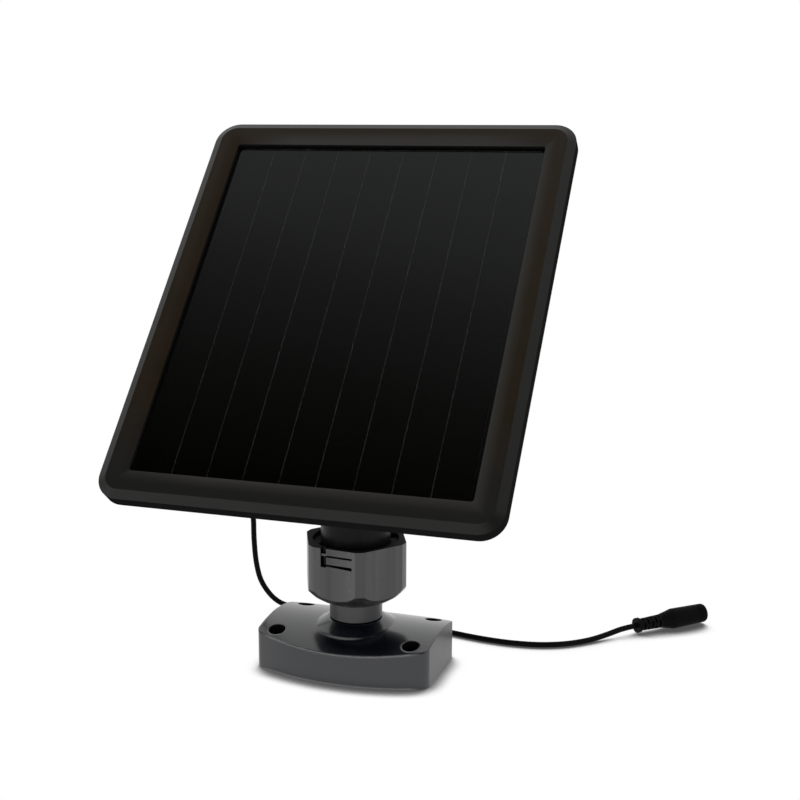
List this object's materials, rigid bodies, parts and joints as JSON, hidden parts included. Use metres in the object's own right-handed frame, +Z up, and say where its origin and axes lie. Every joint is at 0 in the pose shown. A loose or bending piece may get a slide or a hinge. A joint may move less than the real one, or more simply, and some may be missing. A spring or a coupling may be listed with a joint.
{
  "type": "solar panel",
  "caption": "Small framed solar panel on a tilting post that turns in a clamp nut over a screw-down base, with an output lead and in-line socket.",
  "frame": {"origin": "on the mounting surface, at the middle of the four fixing holes and under the turning axis of the post", "axes": "+Z up out of the mounting surface along the turning axis, -Y the way the panel faces, +X to the right seen from the front"},
  "size_m": [0.2636, 0.206, 0.271],
  "materials": {
    "grey_plastic": "semi-gloss moulded grey",
    "black_plastic": "fine satin black",
    "frame_plastic": "satin black, slightly warm",
    "steel": "zinc plated",
    "washer_plastic": "waxy",
    "seal_rubber": "foam tape",
    "cover_glass": "polished",
    "cell_film": "deposited thin film",
    "tinned_ribbon": "tinned copper",
    "backing_board": "pressed sheet",
    "circuit_board": "solder mask",
    "diode_plastic": "moulded",
    "lead_sheath": "smooth sheath",
    "cord_rubber": "satin",
    "connector_plastic": "semi-gloss moulded",
    "contact_metal": "nickel plated"
  },
  "bodies": {
    "base": {"base_plate": "grey_plastic", "clamp_socket": "grey_plastic", "neck_screw": "steel", "neck_washer": "steel"},
    "nut": {"clamp_nut": "grey_plastic"},
    "post": {"support_post": "black_plastic", "output_cord": "cord_rubber", "connector_boot": "cord_rubber", "connector_body": "connector_plastic", "connector_pin": "contact_metal", "connector_sleeve": "contact_metal"},
    "panel": {"panel_bracket": "black_plastic", "bracket_screws": "steel", "tilt_bolt": "steel", "tilt_nut": "steel", "tilt_washers": "washer_plastic", "back_housing": "black_plastic", "front_bezel": "frame_plastic", "housing_screws": "steel", "glass_seal": "seal_rubber", "solar_glass": "cover_glass", "cell_strips": "cell_film", "bus_ribbons": "tinned_ribbon", "backing_board": "backing_board", "junction_board": "circuit_board", "blocking_diode": "diode_plastic", "inner_leads": "lead_sheath", "cable_gland": "cord_rubber"}
  },
  "joints": [
    {"name": "clamp_turn", "type": "hinge", "parent": "base", "child": "nut", "pos_m": [0, 0, 0.05], "axis": [0, 0, 1], "range_deg": [0, 150]},
    {"name": "pan", "type": "hinge", "parent": "base", "child": "post", "pos_m": [0, 0, 0.055], "axis": [0, 0, 1], "range_deg": [-170, 170]},
    {"name": "tilt", "type": "hinge", "parent": "post", "child": "panel", "pos_m": [0, 0, 0.162], "axis": [1, 0, 0], "range_deg": [-49, 20], "deforming": ["output_cord"]}
  ]
}
